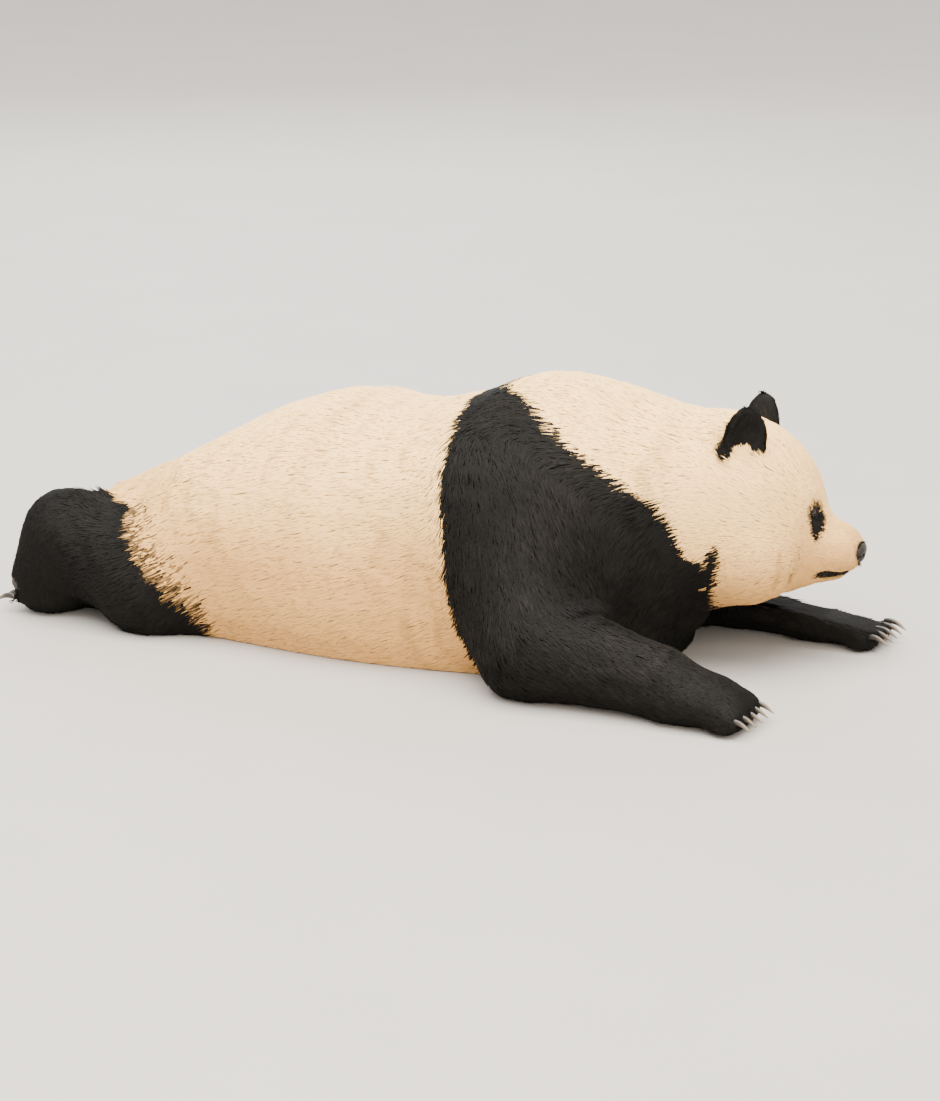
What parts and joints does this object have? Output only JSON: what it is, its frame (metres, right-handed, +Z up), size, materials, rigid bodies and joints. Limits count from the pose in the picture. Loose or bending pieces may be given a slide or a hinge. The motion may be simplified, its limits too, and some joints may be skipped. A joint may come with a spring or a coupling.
{
  "type": "giant panda, life-size still model",
  "caption": "Adult giant panda, life size, lying on its belly with forelegs stretched ahead, hind legs stretched behind and head turned to its left.",
  "frame": {"origin": "on the floor, under the middle of the animal's bounding box", "axes": "+X ahead along the body, +Y to the animal's left, +Z up"},
  "size_m": [1.574, 0.701, 0.4873],
  "materials": {
    "coat_cream": "dense, short, warm white fur",
    "coat_black": "dense black fur",
    "eye": "wet, dark brown",
    "nose": "bare, finely pebbled, slightly moist skin",
    "claw": "worn horn"
  },
  "bodies": {
    "root": {"head": "coat_cream", "jaw": "coat_cream", "neck": "coat_cream", "belly": "coat_cream", "rump": "coat_cream", "tail": "coat_cream", "thigh_right": "coat_cream", "thigh_left": "coat_cream", "chest": "coat_black", "upper_arm_right": "coat_black", "upper_arm_left": "coat_black", "forearm_right": "coat_black", "forearm_left": "coat_black", "forepaw_right": "coat_black", "forepaw_left": "coat_black", "shank_right": "coat_black", "shank_left": "coat_black", "hindfoot_right": "coat_black", "hindfoot_left": "coat_black", "ear_right": "coat_black", "ear_left": "coat_black", "eye_right": "eye", "eye_left": "eye", "nose": "nose"}
  },
  "joints": []
}
